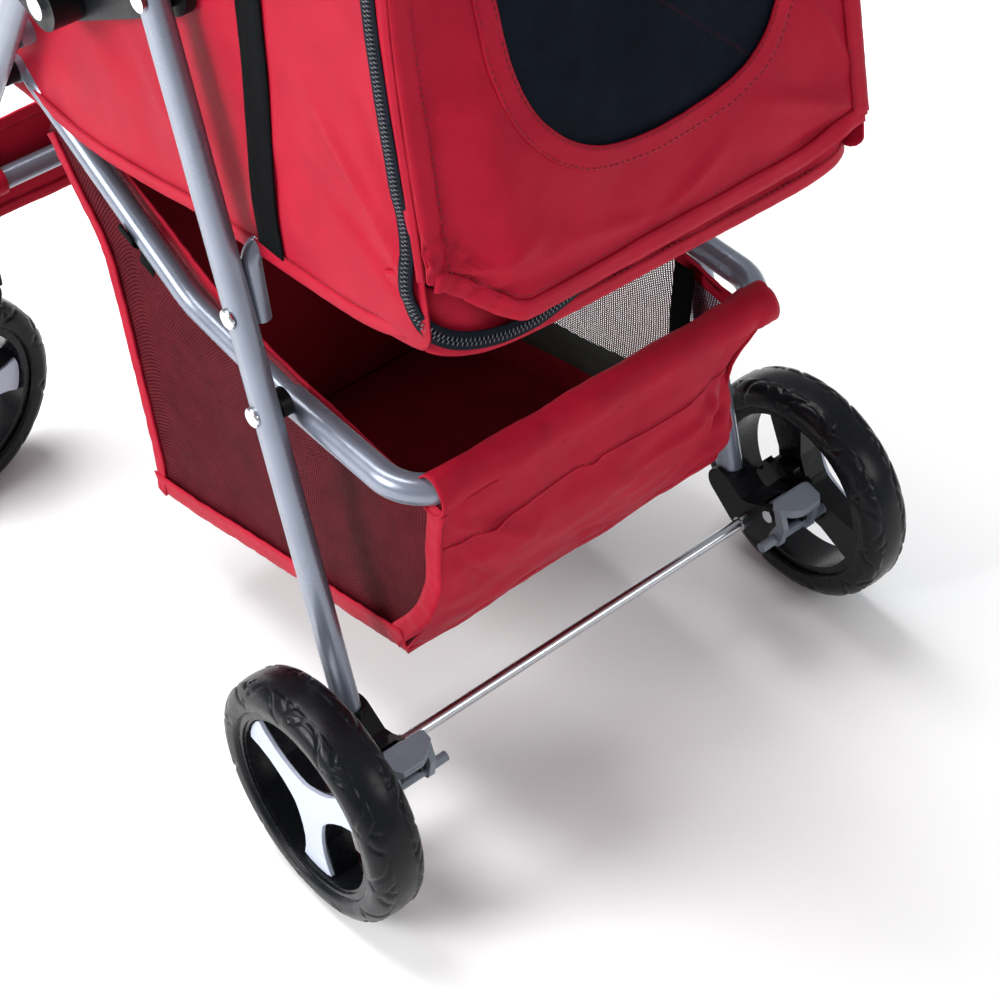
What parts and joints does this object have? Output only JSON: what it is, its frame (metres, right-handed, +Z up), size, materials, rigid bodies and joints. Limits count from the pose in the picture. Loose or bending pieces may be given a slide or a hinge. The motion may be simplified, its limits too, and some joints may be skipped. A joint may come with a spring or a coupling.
{
  "type": "pet stroller",
  "caption": "Folding four-wheeled pet stroller with a zipped fabric cabin, a hood, a carrying basket, turning front casters, foot brakes and a handle with a cup tray.",
  "frame": {"origin": "middle of the bounding box, on the ground", "axes": "+Z up, the stroller rolls forwards towards -Y, +X is its own left"},
  "size_m": [0.5716, 0.585, 0.981],
  "materials": {
    "frame_paint": "satin metallic paint",
    "steel": "bright plated steel",
    "black_plastic": "fine moulded grain",
    "hub_black": "semi-gloss moulding",
    "wheel_insert": "pale satin moulding",
    "brake_grey": "satin moulding",
    "tyre_foam": "matte foam with moulded grooves",
    "grip_foam": "matte foam",
    "red_fabric": "coated plain weave",
    "red_binding": "folded tape, stitched",
    "red_mesh": "fine open mesh",
    "black_mesh": "fine open mesh",
    "black_webbing": "woven tape",
    "zip": "moulded coil",
    "board": "flat panel",
    "cushion": "brushed pile"
  },
  "bodies": {
    "root": {"left_front_leg": "frame_paint", "right_front_leg": "frame_paint", "front_crossbar": "frame_paint", "cabin_front_bar": "frame_paint", "left_leg_knuckle": "black_plastic", "right_leg_knuckle": "black_plastic", "left_caster_socket": "black_plastic", "right_caster_socket": "black_plastic", "fold_pins": "steel", "front_pivot_spacers": "black_plastic", "front_pivot_bolts": "steel", "basket_front_band": "red_fabric", "cabin_body": "red_fabric", "cabin_floor_board": "board", "cabin_cushion": "cushion", "side_straps": "black_webbing", "canopy_pivots": "black_plastic"},
    "handle": {"handle_tube": "frame_paint", "handle_grip": "grip_foam", "left_handle_knuckle": "black_plastic", "right_handle_knuckle": "black_plastic", "latch_pins": "steel", "cup_tray": "black_plastic"},
    "left_latch": {"left_fold_latch": "black_plastic"},
    "right_latch": {"right_fold_latch": "black_plastic"},
    "rear_legs": {"left_rear_leg": "frame_paint", "right_rear_leg": "frame_paint", "left_rear_bracket": "black_plastic", "right_rear_bracket": "black_plastic", "rear_axle": "steel", "cabin_support_bar": "frame_paint", "link_spacers": "black_plastic", "leg_rivets": "steel", "brake_screws": "steel"},
    "left_brake": {"left_brake_lever": "brake_grey", "left_brake_bar": "steel"},
    "right_brake": {"right_brake_lever": "brake_grey", "right_brake_bar": "steel"},
    "left_rear_wheel": {"left_rear_tyre": "tyre_foam", "left_rear_hub": "hub_black", "left_rear_hub_cover": "wheel_insert"},
    "right_rear_wheel": {"right_rear_tyre": "tyre_foam", "right_rear_hub": "hub_black", "right_rear_hub_cover": "wheel_insert"},
    "left_caster": {"left_caster_fork": "black_plastic", "left_front_axle": "steel"},
    "right_caster": {"right_caster_fork": "black_plastic", "right_front_axle": "steel"},
    "left_front_wheel": {"left_front_tyre": "tyre_foam", "left_front_hub": "hub_black", "left_front_hub_covers": "wheel_insert"},
    "right_front_wheel": {"right_front_tyre": "tyre_foam", "right_front_hub": "hub_black", "right_front_hub_covers": "wheel_insert"},
    "basket_frame": {"left_basket_link": "frame_paint", "right_basket_link": "frame_paint", "basket_tube": "frame_paint", "basket": "red_fabric"},
    "canopy": {"canopy": "red_fabric", "canopy_bows": "steel"}
  },
  "joints": [
    {"name": "handle_fold", "type": "hinge", "parent": "root", "child": "handle", "pos_m": [0, -0.05464, 0.51], "axis": [1, 0, 0], "range_deg": [-80, 0]},
    {"name": "rear_leg_fold", "type": "hinge", "parent": "handle", "child": "rear_legs", "pos_m": [0, 0.05636, 0.566], "axis": [1, 0, 0], "range_deg": [0, 57.2]},
    {"name": "basket_fold", "type": "hinge", "parent": "root", "child": "basket_frame", "pos_m": [0, -0.15664, 0.403], "axis": [1, 0, 0], "range_deg": [-41.8, 0], "deforming": ["basket"]},
    {"name": "canopy_fold", "type": "hinge", "parent": "root", "child": "canopy", "pos_m": [0, 0.01736, 0.65], "axis": [1, 0, 0], "range_deg": [-58, 0]},
    {"name": "left_brake_press", "type": "hinge", "parent": "rear_legs", "child": "left_brake", "pos_m": [0.167, 0.22736, 0.103], "axis": [1, 0, 0], "range_deg": [-14, 0]},
    {"name": "right_brake_press", "type": "hinge", "parent": "rear_legs", "child": "right_brake", "pos_m": [-0.167, 0.22736, 0.103], "axis": [1, 0, 0], "range_deg": [-14, 0]},
    {"name": "left_rear_wheel_spin", "type": "hinge", "parent": "rear_legs", "child": "left_rear_wheel", "pos_m": [0.209, 0.20736, 0.085], "axis": [1, 0, 0], "continuous": true},
    {"name": "right_rear_wheel_spin", "type": "hinge", "parent": "rear_legs", "child": "right_rear_wheel", "pos_m": [-0.209, 0.20736, 0.085], "axis": [1, 0, 0], "continuous": true},
    {"name": "left_caster_swivel", "type": "hinge", "parent": "root", "child": "left_caster", "pos_m": [0.1655, -0.26564, 0.2], "axis": [0, 0, 1], "continuous": true},
    {"name": "right_caster_swivel", "type": "hinge", "parent": "root", "child": "right_caster", "pos_m": [-0.1655, -0.26564, 0.2], "axis": [0, 0, 1], "continuous": true},
    {"name": "left_front_wheel_spin", "type": "hinge", "parent": "left_caster", "child": "left_front_wheel", "pos_m": [0.20084, -0.25877, 0.085], "axis": [0.1908, -0.9816, 0], "continuous": true},
    {"name": "right_front_wheel_spin", "type": "hinge", "parent": "right_caster", "child": "right_front_wheel", "pos_m": [-0.20084, -0.25877, 0.085], "axis": [0.1908, 0.9816, 0], "continuous": true},
    {"name": "left_latch_press", "type": "hinge", "parent": "handle", "child": "left_latch", "pos_m": [0.178, -0.02714, 0.6], "axis": [1, 0, 0], "range_deg": [0, 25], "stiffness_Nm_per_rad": 0.3},
    {"name": "right_latch_press", "type": "hinge", "parent": "handle", "child": "right_latch", "pos_m": [-0.178, -0.02714, 0.6], "axis": [1, 0, 0], "range_deg": [0, 25], "stiffness_Nm_per_rad": 0.3}
  ],
  "couplings": [
    {"joint": "rear_leg_fold", "follows": "handle_fold", "ratio": -0.715},
    {"joint": "basket_fold", "follows": "handle_fold", "ratio": 0.5225}
  ]
}
